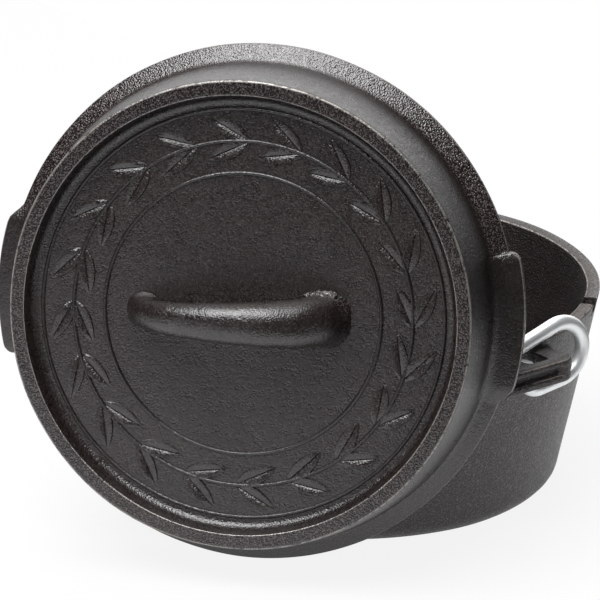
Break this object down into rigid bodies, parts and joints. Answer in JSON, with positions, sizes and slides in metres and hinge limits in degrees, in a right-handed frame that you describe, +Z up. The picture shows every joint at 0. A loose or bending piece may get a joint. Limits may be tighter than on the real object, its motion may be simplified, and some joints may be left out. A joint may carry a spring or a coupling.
{
  "type": "camp dutch oven",
  "caption": "Small flat-bottomed camp dutch oven in cast iron: tapered pot with cast ears and a swinging wire bail, and a deep lid with a coal rim and bar handle leaning on the bail.",
  "frame": {"origin": "centre of the pot's flat base", "axes": "+Z up along the pot's axis, +X along the line of the two ears, -Y towards the side where the bail and the lid lie"},
  "size_m": [0.2148, 0.2315, 0.1768],
  "materials": {
    "pot_iron": "seasoned, satin black over fine sand-cast grain",
    "lid_iron": "seasoned, satin black over fine sand-cast grain",
    "bail_wire": "bright zinc plating"
  },
  "bodies": {
    "pot": {"pot": "pot_iron"},
    "lid": {"lid": "lid_iron"},
    "bail": {"bail": "bail_wire"}
  },
  "joints": [
    {"name": "lid_away", "type": "slide", "parent": "pot", "child": "lid", "axis": [0.6293, -0.7771, 0], "range_m": [0, 0.26]},
    {"name": "bail_swing", "type": "hinge", "parent": "pot", "child": "bail", "pos_m": [0, 0.018, 0.0682], "axis": [-1, 0, 0], "range_deg": [0, 212.7]}
  ],
  "couplings": [
    {"joint": "bail_swing", "follows": "lid_away", "rad_per_m": 14.25}
  ]
}
